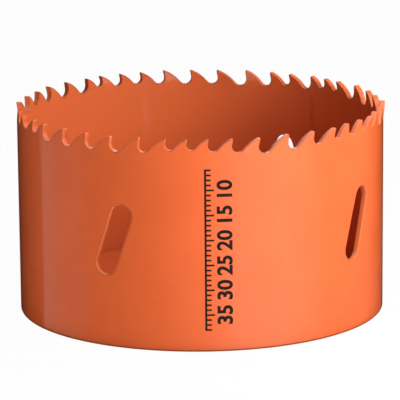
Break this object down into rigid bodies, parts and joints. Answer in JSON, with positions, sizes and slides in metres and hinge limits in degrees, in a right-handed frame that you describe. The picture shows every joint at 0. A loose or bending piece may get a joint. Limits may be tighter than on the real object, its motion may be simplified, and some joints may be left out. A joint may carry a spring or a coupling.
{
  "type": "hole saw",
  "caption": "Cup-shaped hole saw: a rolled steel band with set, variable-pitch teeth and slanted slug slots, closed by a thick threaded back plate.",
  "frame": {"origin": "centre of the back face, on the saw's axis, where the arbor enters", "axes": "+Z along the saw's axis towards the teeth, -Y towards the side between the two slots seen from the front, +X to the right of that side"},
  "size_m": [0.0759, 0.0755, 0.0425],
  "materials": {
    "orange_paint": "semi-gloss orange enamel, sprayed inside and out, teeth included"
  },
  "bodies": {
    "root": {"toothed_band": "orange_paint", "back_plate": "orange_paint"}
  },
  "joints": []
}
